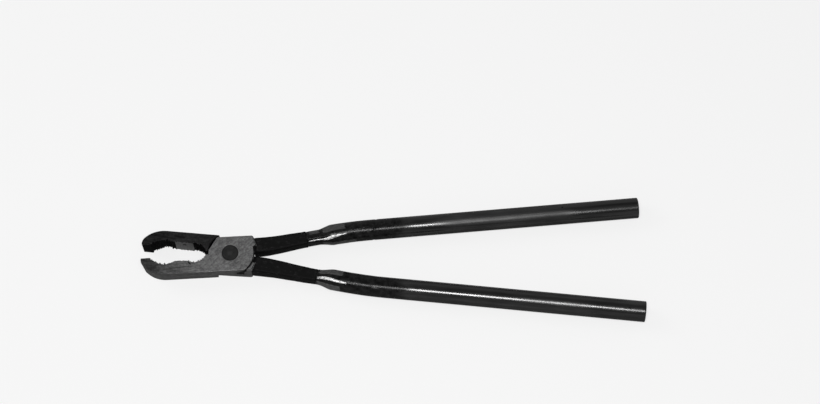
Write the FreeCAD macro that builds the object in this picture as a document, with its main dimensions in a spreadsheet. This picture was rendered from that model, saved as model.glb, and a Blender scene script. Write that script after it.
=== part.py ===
import FreeCAD, Part
import os

import Sketcher

# Long-handled crucible tongs: two like lap-jointed forgings on one rivet, each with its tang
# swaged into a steel tube that serves as its handle.  A welded seam closes the slit of each neck.
#
# Frame: origin on the rivet's axis at the face the tongs rest on, +X towards the handles,
# +Y towards the front half's handle, +Z up through the rivet.  Millimetres and degrees.
#
# Half frame: one forging with its jaws closed.  The jaw lies at -X and +Y and closes on the plane
# Y = 0, the rein leaves at +X and -Y, and the lap recess is cut down from the face at +Z.

DIMENSIONS = [
    # the forged head
    ("head_thickness", 16.0, "thickness of the jaws and shoulders"),
    ("head_draft", 3.5, "draft of the forged outline, in degrees"),
    ("back_height", 14.0, "closing plane to the jaw's back where the nose starts"),
    ("heel_height", 14.7, "closing plane to the jaw's back at the heel"),
    ("flat_height", 13.5, "closing plane to the flat edge opposite the jaw, beside the boss"),
    ("rear_shoulder_height", 12.5, "closing plane to the rear half's shoulder foot"),
    ("front_shoulder_height", 13.1, "closing plane to the front half's shoulder foot"),
    ("jaw_length", 68.4, "rivet axis to the jaw's tip"),
    ("nose_start", 50.0, "rivet axis to where the straight back ends"),
    ("nose_arc", 21.8, "radius that rounds the back down to the nose"),
    ("nose_length", 66.0, "rivet axis to where the nose turns steeper"),
    ("nose_height", 7.0, "closing plane to where the nose turns steeper"),
    ("tip_arc", 8.0, "radius of the nose's end"),
    # the mouth
    ("tip_flat", 7.6, "length of the flat land at the tip"),
    ("grip_arc", 16.4, "radius of the large toothed hollow"),
    ("grip_depth", 4.8, "depth of the large toothed hollow"),
    ("back_arc", 11.3, "radius of the small hollow beside the rivet"),
    ("back_depth", 4.6, "depth of the small hollow"),
    ("back_end", 18.9, "rivet axis to the end of the small hollow"),
    ("rear_ground_depth", 4.5, "depth of the hump ground flat in the rear half"),
    ("front_ground_depth", 3.7, "depth of the hump ground flat in the front half"),
    ("back_teeth_start", 29.5, "rivet axis to the first tooth of the small hollow"),
    ("tooth_pitch", 1.7, "spacing of the teeth along the hollow"),
    ("tooth_depth", 0.8, "depth of the grooves between the teeth"),
    # the lap joint
    ("boss_radius", 16.5, "radius of the lap boss towards the jaws"),
    ("heel_radius", 17.9, "radius of the lap boss towards the reins"),
    ("recess_gap", 0.35, "radial gap around the boss in the other half's recess"),
    ("lap_play", 0.05, "gap between the two lap faces"),
    ("heel_drop", 4.0, "closing plane to where the heel arc ends"),
    ("shoulder_reach", 20.5, "rivet axis to the shoulder's inner corner"),
    ("shoulder_drop", 5.8, "closing plane to the shoulder's inner corner"),
    ("shoulder_foot", 18.1, "rivet axis to the shoulder's outer corner"),
    ("shoulder_bevel", 1.2, "bevel on the shoulder's edges above the rein"),
    # the rivet
    ("rivet_radius", 6.0, "radius of the rivet's shank"),
    ("rivet_head_radius", 6.425, "radius of the rivet's flush heads"),
    ("rivet_head_depth", 1.2, "depth of the countersunk heads"),
    ("rivet_clearance", 0.05, "radial clearance of the rivet in the front half"),
    # the reins and their tangs
    ("upper_rein_angle", 7.14, "angle between the closing plane and the upper rein, in degrees"),
    ("lower_rein_angle", 5.4, "angle between the closing plane and the lower rein, in degrees"),
    ("rein_root", 14.0, "rivet axis to the rein's first section"),
    ("rein_waist", 30.0, "rivet axis to where the rein turns to its own angle"),
    ("rein_middle", 46.0, "rivet axis to the rein's middle section"),
    ("rein_drop", 6.38, "closing plane to the rein's centre line up to the waist"),
    ("rein_width", 12.3, "width of the rein at the waist"),
    ("rein_height", 10.8, "thickness of the rein at the waist"),
    ("rein_narrowing", 0.066, "loss of width for each millimetre past the waist"),
    ("rein_thinning", 0.02, "loss of thickness for each millimetre past the waist"),
    ("rein_rounding", 1.6, "corner radius of the rein's section"),
    ("tang_half_width", 4.0, "half the width of the tang in the tube"),
    ("tang_half_height", 5.2, "half the height of the tang in the tube"),
    ("tang_arc", 6.8, "radius of the tang's four bowed sides"),
    ("ridge_lean", 22.0, "lean of the necks' and tangs' upper ridges towards -Y, in degrees"),
    ("tang_length", 26.0, "length of the tang in the tube"),
    ("upper_mouth", 59.0, "rivet axis to the upper tube's mouth"),
    ("lower_mouth", 67.8, "rivet axis to the lower tube's mouth"),
    # the handle tubes
    ("tube_radius", 8.0, "outer radius of the tube"),
    ("tube_wall", 1.5, "wall of the tube"),
    ("neck_half_width", 5.9, "half the width of the swaged neck"),
    ("neck_half_height", 6.8, "half the height of the neck, over its ridges"),
    ("neck_arc", 9.0, "radius of the neck's four bowed sides"),
    ("upper_neck", 9.0, "length of the upper neck before it flares"),
    ("lower_neck", 1.5, "length of the lower neck before it flares"),
    ("flare_length", 11.5, "length of the flare from the neck to the full tube"),
    ("bend_radius", 330.0, "radius of the tube's gentle bend"),
    ("upper_bend_start", 16.0, "mouth to the start of the upper tube's bend"),
    ("lower_bend_start", 21.0, "mouth to the start of the lower tube's bend"),
    ("upper_bend_angle", 6.0, "turn of the upper tube's bend, in degrees"),
    ("lower_bend_angle", 5.5, "turn of the lower tube's bend, in degrees"),
    ("upper_straight", 207.3, "straight length of the upper tube past its bend"),
    ("lower_straight", 199.2, "straight length of the lower tube past its bend"),
    # the welded seams
    ("seam_width", 2.0, "width of the slit and of the weld that closes it"),
    ("seam_crown", 0.35, "height of the weld above the neck's ridge"),
    ("upper_seam", 22.0, "length of the upper seam"),
    ("lower_seam", 24.0, "length of the lower seam"),
    # how far the halves stand open at rest
    ("rear_opening", 5.35, "turn of the rear half from closed, in degrees"),
    ("front_opening", 4.35, "turn of the front half from closed, in degrees"),
]

FAR = 60.0  # further out than any part of the head
NUDGE = 0.2  # how far a cutting outline starts clear of the surface that it cuts
OVERRUN = 3.0  # how far an outline runs past the edge that another feature trims it to

Vector = FreeCAD.Vector
Rotation = FreeCAD.Rotation
Placement = FreeCAD.Placement

doc = FreeCAD.newDocument("crucible_tongs")

sheet = doc.addObject("Spreadsheet::Sheet", "dims")
for row, (alias, size, meaning) in enumerate(DIMENSIONS, start=1):
    sheet.set(f"A{row}", meaning)
    sheet.set(f"B{row}", str(size))
    sheet.setAlias(f"B{row}", alias)
doc.recompute()


# ---------------------------------------------------------------- helpers

def number(expression):
    """The value of an expression on the sheet's cells."""
    value = sheet.evalExpression(expression)
    return float(getattr(value, "Value", value))


def new_body(name):
    body = doc.addObject("PartDesign::Body", name)
    body.Label = name
    return body


def new_sketch(body, name, plane="XY_Plane", base=("0", "0", "0"), turn="0", axis=(0, 1, 0)):
    """A sketch on an origin plane, moved by base and turned by turn degrees about its own axis."""
    sketch = body.newObject("Sketcher::SketchObject", name)
    support = [item for item in body.Origin.OriginFeatures if item.Role == plane][0]
    sketch.AttachmentSupport = (support, [""])
    sketch.MapMode = "FlatFace"
    offset = Vector(*[number(expression) for expression in base])
    sketch.AttachmentOffset = Placement(offset, Rotation(Vector(*axis), number(turn)))
    for letter, expression in zip("xyz", base):
        if expression != "0":
            sketch.setExpression(f"AttachmentOffset.Base.{letter}", expression)
    if turn != "0":
        sketch.setExpression("AttachmentOffset.Rotation.Angle", f"({turn}) * 1 deg")
    return sketch


def arc_between(start, end, radius, side):
    """The short arc from start to end; side is 1 for a centre on the left of the way, else -1."""
    chord = end - start
    reach = max(radius * radius - chord.Length ** 2 / 4, 0.0) ** 0.5
    left = Vector(-chord.y, chord.x, 0).normalize()
    centre = (start + end) / 2 + left * reach * side
    circle = Part.Circle(centre, Vector(0, 0, 1), radius)
    first, last = (start, end) if side > 0 else (end, start)
    return Part.ArcOfCircle(circle, circle.parameter(first), circle.parameter(last))


def draw(sketch, steps, closed=True):
    """Draw an outline whose corners are pairs of expressions.

    A step (x, y) goes straight to that corner, and a step (x, y, radius, side) goes there on an
    arc.  Every corner and radius is held by a constraint bound to its expression.
    """
    corners = [Vector(number(step[0]), number(step[1]), 0) for step in steps]
    ends = []
    for index in range(0 if closed else 1, len(steps)):
        step = steps[index]
        start = corners[index - 1]
        end = corners[index]
        if len(step) == 2:
            edge = sketch.addGeometry(Part.LineSegment(start, end), False)
            ends.append((edge, 1, 2, index))
            continue
        edge = sketch.addGeometry(arc_between(start, end, number(step[2]), step[3]), False)
        first, last = (1, 2) if step[3] > 0 else (2, 1)
        ends.append((edge, first, last, index))
        radius = sketch.addConstraint(Sketcher.Constraint("Radius", edge, number(step[2])))
        sketch.setExpression(f"Constraints[{radius}]", step[2])
    for (edge, _, last, _), (following, first, _, _) in zip(ends, ends[1:]):
        sketch.addConstraint(Sketcher.Constraint("Coincident", edge, last, following, first))
    if closed:
        edge, _, last, _ = ends[-1]
        following, first, _, _ = ends[0]
        sketch.addConstraint(Sketcher.Constraint("Coincident", edge, last, following, first))
    else:
        hold(sketch, ends[0][0], ends[0][1], steps[0])
    for edge, _, last, index in ends:
        hold(sketch, edge, last, steps[index])
    return sketch


def hold(sketch, edge, end, step):
    """Fix one corner at its expressions' place."""
    for kind, expression, axis in (("DistanceX", step[0], -2), ("DistanceY", step[1], -1)):
        if expression == "0":
            sketch.addConstraint(Sketcher.Constraint("PointOnObject", edge, end, axis))
            continue
        place = number(expression)
        held = sketch.addConstraint(Sketcher.Constraint(kind, -1, 1, edge, end, place))
        sketch.setExpression(f"Constraints[{held}]", expression)


def bowed_section(sketch, half_width, half_height, radius):
    """A closed section of four equal arcs, its ridges leaning: a circle, or a flattened tube."""
    cosine = "cos(dims.ridge_lean * 1 deg)"
    sine = "sin(dims.ridge_lean * 1 deg)"
    side = (f"({half_width}) * {cosine}", f"({half_width}) * {sine}")
    ridge = (f"-({half_height}) * {sine}", f"({half_height}) * {cosine}")
    return draw(sketch, [
        (side[0], side[1], radius, 1),
        (ridge[0], ridge[1], radius, 1),
        (f"-({side[0]})", f"-({side[1]})", radius, 1),
        (f"-({ridge[0]})", f"-({ridge[1]})", radius, 1),
    ])


def round_section(sketch, width, height, corner):
    """A closed rounded rectangle centred on the sketch's origin."""
    side = f"({width}) / 2"
    top = f"({height}) / 2"
    inner_side = f"({width}) / 2 - {corner}"
    inner_top = f"({height}) / 2 - {corner}"
    return draw(sketch, [
        (side, f"-({inner_top})", corner, 1),
        (side, inner_top),
        (inner_side, top, corner, 1),
        (f"-({inner_side})", top),
        (f"-({side})", inner_top, corner, 1),
        (f"-({side})", f"-({inner_top})"),
        (f"-({inner_side})", f"-({top})", corner, 1),
        (inner_side, f"-({top})"),
    ])


def must_change(body, feature, grows):
    """Recompute and make sure that the feature added or removed material."""
    doc.recompute()
    before = feature.BaseFeature.Shape.Volume if feature.BaseFeature else 0.0
    change = feature.Shape.Volume - before
    if (change > 0) != grows or abs(change) < 1e-3:
        raise RuntimeError(f"{body.Label}.{feature.Name} changed the volume by {change:.3f}")
    return feature


def pocket(body, name, sketch, depth=None):
    """Cut the sketch's outline down to a depth, or else right through, above and below."""
    feature = body.newObject("PartDesign::Pocket", name)
    feature.Profile = sketch
    feature.Type = "Length"
    feature.Midplane = depth is None
    feature.setExpression("Length", depth or "dims.head_thickness * 4")
    return must_change(body, feature, grows=False)


def loft(body, name, sections, add=True, ruled=False):
    kind = "PartDesign::AdditiveLoft" if add else "PartDesign::SubtractiveLoft"
    feature = body.newObject(kind, name)
    feature.Ruled = ruled
    feature.Profile = sections[0]
    feature.Sections = sections[1:]
    return must_change(body, feature, grows=add)


def pipe(body, name, profile, path, add=True):
    kind = "PartDesign::AdditivePipe" if add else "PartDesign::SubtractivePipe"
    feature = body.newObject(kind, name)
    feature.Profile = profile
    feature.Spine = (path, [f"Edge{index + 1}" for index in range(path.GeometryCount)])
    return must_change(body, feature, grows=add)


# ---------------------------------------------------------------- the forged halves

def root_of(radius, leg):
    """The other leg of a right-angled triangle, as an expression."""
    return f"sqrt(({radius}) ^ 2 - ({leg}) ^ 2)"


GRIP_END = "dims.jaw_length - dims.tip_flat"
GRIP_CENTRE = f"({GRIP_END} - {root_of('dims.grip_arc', 'dims.grip_arc - dims.grip_depth')})"
BACK_CENTRE = f"(dims.back_end + {root_of('dims.back_arc', 'dims.back_arc - dims.back_depth')})"
GRIP_SWING = f"(asin(({GRIP_END} - {GRIP_CENTRE}) / dims.grip_arc) / (1 deg))"
BACK_SWING = f"(asin(({BACK_CENTRE} - dims.back_end) / dims.back_arc) / (1 deg))"
MID_HEIGHT = "dims.head_thickness / 2"
LAP_DEPTH = "(dims.head_thickness + dims.lap_play) / 2"


def head_outline(body, shoulder_height):
    """The forging's outline on its broad face, padded with draft towards the lap side."""
    flat_end = root_of("dims.boss_radius", "dims.flat_height")
    heel_end = root_of("dims.heel_radius", "dims.heel_drop")
    heel_start = root_of("dims.heel_radius", "dims.heel_height")
    sketch = draw(new_sketch(body, "HeadOutline"), [
        ("-dims.jaw_length", "0", "dims.tip_arc", 1),
        ("-dims.jaw_length", f"-{OVERRUN}"),
        ("-dims.boss_radius", f"-{OVERRUN}"),
        (f"-{flat_end}", "-dims.flat_height"),
        ("dims.shoulder_foot", f"-{shoulder_height}"),
        ("dims.shoulder_reach", "-dims.shoulder_drop"),
        (heel_end, "-dims.heel_drop"),
        (heel_start, "dims.heel_height", "dims.heel_radius", 1),
        ("-dims.nose_start", "dims.back_height"),
        ("-dims.nose_length", "dims.nose_height", "dims.nose_arc", 1),
    ])
    head = body.newObject("PartDesign::Pad", "Head")
    head.Profile = sketch
    head.setExpression("Length", "dims.head_thickness")
    head.setExpression("TaperAngle", "-dims.head_draft * 1 deg")
    return must_change(body, head, grows=True)


def rein_centre(station, angle):
    """How far below the closing plane the rein's centre line is at a station past the waist."""
    return f"(dims.rein_drop + ({station} - dims.rein_waist) * tan({angle} * 1 deg))"


def rein_size(size, loss, station):
    return f"({size} - max(0; {station} - dims.rein_waist) * {loss})"


def rein_and_tang(body, mouth, angle):
    """The rein, lofted through its sections, and the tang that goes into the tube."""
    stations = [
        ("dims.rein_root", "dims.rein_drop", "0"),
        ("dims.rein_waist", "dims.rein_drop", f"-{angle} / 2"),
        ("dims.rein_middle", rein_centre("dims.rein_middle", angle), f"-{angle}"),
        (mouth, rein_centre(mouth, angle), f"-{angle}"),
    ]
    sections = []
    for index, (station, drop, turn) in enumerate(stations):
        base = (f"-{drop}", MID_HEIGHT, station)
        sketch = new_sketch(body, f"ReinSection{index}", "YZ_Plane", base, turn)
        width = rein_size("dims.rein_width", "dims.rein_narrowing", station)
        height = rein_size("dims.rein_height", "dims.rein_thinning", station)
        sections.append(round_section(sketch, width, height, "dims.rein_rounding"))
    loft(body, "Rein", sections)
    base = (f"-{rein_centre(mouth, angle)}", MID_HEIGHT, mouth)
    section = new_sketch(body, "TangSection", "YZ_Plane", base, f"-{angle}")
    bowed_section(section, "dims.tang_half_width", "dims.tang_half_height", "dims.tang_arc")
    tang = body.newObject("PartDesign::Pad", "Tang")
    tang.Profile = section
    tang.setExpression("Length", "dims.tang_length")
    return must_change(body, tang, grows=True)


def cut_mouth(body, ground_depth):
    """The closing plane, the two hollows, the hump ground flat between them, and the boss's arc."""
    grip_ground = root_of("dims.grip_arc", f"dims.grip_arc - dims.grip_depth + {ground_depth}")
    back_ground = root_of("dims.back_arc", f"dims.back_arc - dims.back_depth + {ground_depth}")
    boss_end = root_of("dims.boss_radius", "dims.flat_height")
    sketch = draw(new_sketch(body, "Mouth"), [
        (f"-{FAR * 2}", "0"),
        (f"-{FAR * 2}", f"-{FAR}"),
        (f"-{boss_end}", f"-{FAR}"),
        (f"-{boss_end}", "-dims.flat_height"),
        ("-dims.boss_radius", "0", "dims.boss_radius", -1),
        ("-dims.back_end", "0"),
        (f"-({BACK_CENTRE} + {back_ground})", ground_depth, "dims.back_arc", 1),
        (f"-({GRIP_CENTRE} - {grip_ground})", ground_depth),
        (f"-({GRIP_END})", "0", "dims.grip_arc", 1),
    ])
    return pocket(body, "MouthCut", sketch)


def cut_heel(body):
    """Turn the heel true, so that it clears the other half's shoulder."""
    height = "((dims.heel_height + dims.heel_radius) / 2)"
    foot = root_of("dims.heel_radius", height)
    sketch = draw(new_sketch(body, "Heel"), [
        (foot, f"{FAR}"),
        (foot, height),
        ("dims.heel_radius", "0", "dims.heel_radius", -1),
        (f"{FAR}", "0"),
        (f"{FAR}", f"{FAR}"),
    ])
    return pocket(body, "HeelCut", sketch)


def cut_teeth(body, name, centre, radius, depth, first, last):
    """V-grooves across a hollow, spaced along its arc from angle first to angle last."""
    step = f"(dims.tooth_pitch / {radius} * 180 / pi)"
    count = int((number(last) - number(first)) / number(step))
    sketch = new_sketch(body, f"{name}Groove", "XY_Plane", (f"-{centre}", f"{depth} - {radius}", "0"))
    angle = f"({first} + 0.5 * {step})"
    near = f"({radius} - {NUDGE})"
    deep = f"({radius} + dims.tooth_depth)"
    half = f"({step} * 0.5 * (1 + {NUDGE} / dims.tooth_depth) * 0.94)"

    def corner(reach, bearing):
        return (f"{reach} * sin(({bearing}) * 1 deg)", f"{reach} * cos(({bearing}) * 1 deg)")

    draw(sketch, [
        corner(near, f"{angle} - {half}"),
        corner(near, f"{angle} + {half}"),
        corner(deep, angle),
    ])
    groove = pocket(body, f"{name}Cut", sketch)
    teeth = body.newObject("PartDesign::PolarPattern", name)
    teeth.Originals = [groove]
    teeth.Axis = (sketch, ["N_Axis"])
    teeth.Reversed = True
    teeth.setExpression("Angle", f"{step} * {count - 1} * 1 deg")
    teeth.Occurrences = count
    body.Tip = teeth
    return must_change(body, teeth, grows=False)


def cut_lap(body):
    """The recess for the other half's boss, and the step down to the rein beside the shoulder."""
    jaw_side = "(dims.boss_radius + dims.recess_gap)"
    rein_side = "(dims.heel_radius + dims.recess_gap)"
    corner = "(dims.flat_height + dims.recess_gap)"
    left = root_of(jaw_side, corner)
    height = root_of(rein_side, left)
    top = ("0", "0", "dims.head_thickness")
    sketch = draw(new_sketch(body, "Lap", base=top), [
        (f"-{left}", f"{FAR}"),
        (f"-{left}", corner),
        (f"-{left}", f"-{corner}", jaw_side, 1),
        (f"-{left}", f"-{FAR}"),
        (left, f"-{FAR}"),
        (left, f"-{height}"),
        (left, height, rein_side, 1),
        (left, f"{FAR}"),
    ])
    pocket(body, "LapCut", sketch, LAP_DEPTH)
    step = draw(new_sketch(body, "Step", base=top), [
        ("dims.rein_root", "-dims.shoulder_drop"),
        (f"{FAR}", "-dims.shoulder_drop"),
        (f"{FAR}", f"{FAR}"),
        ("dims.rein_root", f"{FAR}"),
    ])
    return pocket(body, "StepCut", step, "(dims.head_thickness - dims.rein_height) / 2")


def cut_bore(body, clearance):
    """The rivet's hole, countersunk on the broad face."""
    sketch = draw(new_sketch(body, "Bore", "XZ_Plane"), [
        ("0", "0"),
        (f"dims.rivet_head_radius + {clearance}", "0"),
        (f"dims.rivet_radius + {clearance}", "dims.rivet_head_depth"),
        (f"dims.rivet_radius + {clearance}", "dims.head_thickness"),
        ("0", "dims.head_thickness"),
    ])
    bore = body.newObject("PartDesign::Groove", "RivetBore")
    bore.Profile = sketch
    bore.ReferenceAxis = (sketch, ["V_Axis"])
    bore.Angle = 360
    return must_change(body, bore, grows=False)


def bevel_shoulder(body, shoulder_height):
    """Bevel the shoulder's slanting edge, where it stands above the rein on both faces."""
    doc.recompute()
    middle_x = number("(dims.shoulder_foot + dims.shoulder_reach) / 2")
    middle_y = -number(f"({shoulder_height} + dims.shoulder_drop) / 2")
    found = []
    for index, edge in enumerate(body.Shape.Edges, start=1):
        centre = edge.CenterOfMass
        level = abs(edge.BoundBox.ZMax - edge.BoundBox.ZMin) < 0.01
        on_face = centre.z < 0.01 or centre.z > number("dims.head_thickness") - 0.01
        near = abs(centre.x - middle_x) < 1.5 and abs(centre.y - middle_y) < 1.5
        if level and on_face and near:
            found.append(f"Edge{index}")
    if len(found) != 2:
        raise RuntimeError(f"{body.Label} has {len(found)} shoulder edges, not 2")
    beveled = body.Tip
    bevel = body.newObject("PartDesign::Chamfer", "ShoulderBevel")
    bevel.Base = (beveled, found)
    bevel.setExpression("Size", "dims.shoulder_bevel")
    return must_change(body, bevel, grows=False)


def jaw_half(name, mouth, angle, shoulder_height, ground_depth, clearance):
    """One forging, in the half frame."""
    body = new_body(name)
    head_outline(body, shoulder_height)
    rein_and_tang(body, mouth, angle)
    cut_mouth(body, ground_depth)
    cut_heel(body)
    cut_lap(body)
    cut_bore(body, clearance)
    bevel_shoulder(body, shoulder_height)
    grip_reach = root_of("dims.grip_arc", f"dims.grip_arc - dims.grip_depth + {ground_depth}")
    grip_last = f"(asin({grip_reach} / dims.grip_arc) / (1 deg))"
    back_first = f"(asin(({BACK_CENTRE} - dims.back_teeth_start) / dims.back_arc) / (1 deg))"
    cut_teeth(body, "GripTeeth", GRIP_CENTRE, "dims.grip_arc", "dims.grip_depth",
              f"-{GRIP_SWING}", grip_last)
    cut_teeth(body, "BackTeeth", BACK_CENTRE, "dims.back_arc", "dims.back_depth",
              back_first, BACK_SWING)
    return body


# ---------------------------------------------------------------- the rivet

def rivet(name):
    """The shank with its two flush heads, turned about Z."""
    body = new_body(name)
    sketch = draw(new_sketch(body, "Profile", "XZ_Plane"), [
        ("0", "0"),
        ("dims.rivet_head_radius", "0"),
        ("dims.rivet_radius", "dims.rivet_head_depth"),
        ("dims.rivet_radius", "dims.head_thickness - dims.rivet_head_depth"),
        ("dims.rivet_head_radius", "dims.head_thickness"),
        ("0", "dims.head_thickness"),
    ])
    turned = body.newObject("PartDesign::Revolution", "Turned")
    turned.Profile = sketch
    turned.ReferenceAxis = (sketch, ["V_Axis"])
    turned.Angle = 360
    must_change(body, turned, grows=True)
    return body


# ---------------------------------------------------------------- the handle tubes

class Handle:
    """The sheet's names for one tube: side is 1 where it bends towards -Y, and -1 towards +Y.

    Handle frame: origin at the centre of the tube's mouth, +X along the neck, +Z up.
    """

    def __init__(self, prefix, side):
        self.neck = f"dims.{prefix}_neck"
        self.bend_start = f"dims.{prefix}_bend_start"
        self.bend_angle = f"dims.{prefix}_bend_angle"
        self.straight = f"dims.{prefix}_straight"
        self.seam = f"dims.{prefix}_seam"
        self.side = side

    def swing(self, distance):
        """How far the path has turned, in degrees, at a distance from the mouth."""
        return f"(max(0; {distance} - {self.bend_start}) / dims.bend_radius * 180 / pi)"

    def place(self, distance):
        """The path's point and turn at a distance from the mouth, as expressions."""
        angle = self.swing(distance)
        ahead = f"(min({distance}; {self.bend_start}) + dims.bend_radius * sin({angle} * 1 deg))"
        aside = f"({-self.side} * dims.bend_radius * (1 - cos({angle} * 1 deg)))"
        return ahead, aside, f"({-self.side} * {angle})"

    def path(self, body, name, start):
        """The path from a distance to the tube's far end, straight up to the bend and past it."""
        ahead, aside, _ = self.place(start)
        turn = f"({self.bend_angle} * 1 deg)"
        bend_ahead = f"({self.bend_start} + dims.bend_radius * sin{turn})"
        bend_aside = f"({-self.side} * dims.bend_radius * (1 - cos{turn}))"
        end_ahead = f"({bend_ahead} + {self.straight} * cos{turn})"
        end_aside = f"({bend_aside} + {-self.side} * {self.straight} * sin{turn})"
        steps = [
            (ahead, aside),
            (self.bend_start, "0"),
            (bend_ahead, bend_aside, "dims.bend_radius", -self.side),
            (end_ahead, end_aside),
        ]
        if number(start) >= number(self.bend_start):
            del steps[1]
        return draw(new_sketch(body, name), steps, closed=False)

    def section(self, body, name, distance):
        """A sketch square to the path."""
        ahead, aside, turn = self.place(distance)
        return new_sketch(body, name, "YZ_Plane", (aside, "0", ahead), turn)


def handle_tube(name, handle):
    """A round tube with a gentle bend, swaged at one end to a flattened neck round the tang."""
    body = new_body(name)
    flare_end = f"({handle.neck} + dims.flare_length)"
    flare_first = f"({handle.neck} + dims.flare_length / 3)"
    flare_second = f"({handle.neck} + dims.flare_length * 2 / 3)"
    bore = "(dims.tube_radius - dims.tube_wall)"
    outside = "dims.tube_radius * 2"
    lean = "(dims.ridge_lean * 1 deg)"
    stations = ("0", handle.neck, flare_first, flare_second, flare_end)

    def shape(prefix, width, height, arc, full):
        """The sections of the neck's outside or inside, from the mouth to the full tube."""
        shares = (0, 0, 0.26, 0.74, 1)
        sections = []
        for index, (station, share) in enumerate(zip(stations, shares)):
            blend = [f"({size} + ({full} - {size}) * {share})" for size in (width, height, arc)]
            sketch = handle.section(body, f"{prefix}Section{index}", station)
            sections.append(bowed_section(sketch, *blend))
        return sections

    path = handle.path(body, "Path", flare_end)
    outer = handle.section(body, "TubeSection", flare_end)
    bowed_section(outer, "dims.tube_radius", "dims.tube_radius", "dims.tube_radius")
    pipe(body, "Tube", outer, path)
    neck = shape("Neck", "dims.neck_half_width", "dims.neck_half_height", "dims.neck_arc",
                 "dims.tube_radius")
    loft(body, "Neck", neck, ruled=True)
    inner = handle.section(body, "BoreSection", flare_end)
    bowed_section(inner, bore, bore, bore)
    pipe(body, "TubeBore", inner, path, add=False)
    hollow = shape("Hollow", "dims.tang_half_width", "dims.tang_half_height", "dims.tang_arc", bore)
    loft(body, "NeckBore", hollow, add=False, ruled=True)
    above = ("0", f"-({outside}) * sin{lean}", f"({outside}) * cos{lean}")
    slit = draw(new_sketch(body, "Slit", base=above, turn="dims.ridge_lean", axis=(1, 0, 0)), [
        (f"-{NUDGE}", "-dims.seam_width / 2"),
        (handle.seam, "-dims.seam_width / 2"),
        (handle.seam, "dims.seam_width / 2"),
        (f"-{NUDGE}", "dims.seam_width / 2"),
    ])
    pocket(body, "SlitCut", slit, outside)
    return body


def seam_weld(name, handle):
    """The weld that fills the slit, from the tang and the bore up to a low crown."""
    body = new_body(name)
    flare_end = f"({handle.neck} + dims.flare_length)"
    bore = "(dims.tube_radius - dims.tube_wall)"
    sketch = draw(new_sketch(body, "Side", "XZ_Plane"), [
        ("0", "dims.tang_half_height"),
        (handle.neck, "dims.tang_half_height"),
        (flare_end, bore),
        (handle.seam, bore),
        (handle.seam, "dims.tube_radius"),
        (flare_end, "dims.tube_radius"),
        (handle.neck, "dims.neck_half_height + dims.seam_crown"),
        ("0", "dims.neck_half_height + dims.seam_crown"),
    ])
    bead = body.newObject("PartDesign::Pad", "Bead")
    bead.Profile = sketch
    bead.Midplane = True
    bead.setExpression("Length", "dims.seam_width")
    must_change(body, bead, grows=True)
    return body


# ---------------------------------------------------------------- assembly

def mouth_placement(mouth, angle):
    """Where a tube's mouth lies in the half frame."""
    drop = number(rein_centre(mouth, angle))
    return Placement(Vector(number(mouth), -drop, number(MID_HEIGHT)),
                     Rotation(Vector(0, 0, 1), -number(angle)))


def turn_about_z(angle):
    return Placement(Vector(), Rotation(Vector(0, 0, 1), angle))


FLIP = Placement(Vector(0, 0, number("dims.head_thickness")), Rotation(Vector(1, 0, 0), 180))
REAR = turn_about_z(-number("dims.rear_opening"))
FRONT = turn_about_z(number("dims.front_opening")) * FLIP
upper = Handle("upper", 1)
lower = Handle("lower", -1)

rear_jaw_half = jaw_half("rear_jaw_half", "dims.lower_mouth", "dims.lower_rein_angle",
                         "dims.rear_shoulder_height", "dims.rear_ground_depth", "0")
rear_jaw_half.Placement = REAR
front_jaw_half = jaw_half("front_jaw_half", "dims.upper_mouth", "dims.upper_rein_angle",
                          "dims.front_shoulder_height", "dims.front_ground_depth",
                          "dims.rivet_clearance")
front_jaw_half.Placement = FRONT
pivot_rivet = rivet("pivot_rivet")

TURN_OVER = Placement(Vector(), Rotation(Vector(1, 0, 0), 180))
lower_place = REAR * mouth_placement("dims.lower_mouth", "dims.lower_rein_angle")
upper_place = FRONT * mouth_placement("dims.upper_mouth", "dims.upper_rein_angle") * TURN_OVER
lower_handle_tube = handle_tube("lower_handle_tube", lower)
lower_handle_tube.Placement = lower_place
upper_handle_tube = handle_tube("upper_handle_tube", upper)
upper_handle_tube.Placement = upper_place
LEAN = Placement(Vector(), Rotation(Vector(1, 0, 0), number("dims.ridge_lean")))
lower_seam_weld = seam_weld("lower_seam_weld", lower)
lower_seam_weld.Placement = lower_place * LEAN
upper_seam_weld = seam_weld("upper_seam_weld", upper)
upper_seam_weld.Placement = upper_place * LEAN

doc.recompute()

for item in doc.Objects:
    if "Invalid" in item.State or "Error" in item.State:
        raise RuntimeError(f"{item.Label} failed: {item.State}")

bodies = [item for item in doc.Objects if item.TypeId == "PartDesign::Body"]
for body in bodies:
    if body.Shape.isNull() or not body.Shape.isValid() or len(body.Shape.Solids) != 1:
        raise RuntimeError(f"{body.Label} is not one valid solid")

os.makedirs("parts", exist_ok=True)
for body in bodies:
    body.Shape.exportStep(f"parts/{body.Label}.step")
    box = body.Shape.BoundBox
    print(f"{body.Label}: {body.Shape.Volume:.0f} mm3,",
          f"X {box.XMin:.1f} to {box.XMax:.1f},",
          f"Y {box.YMin:.1f} to {box.YMax:.1f},",
          f"Z {box.ZMin:.1f} to {box.ZMax:.1f}")
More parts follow.
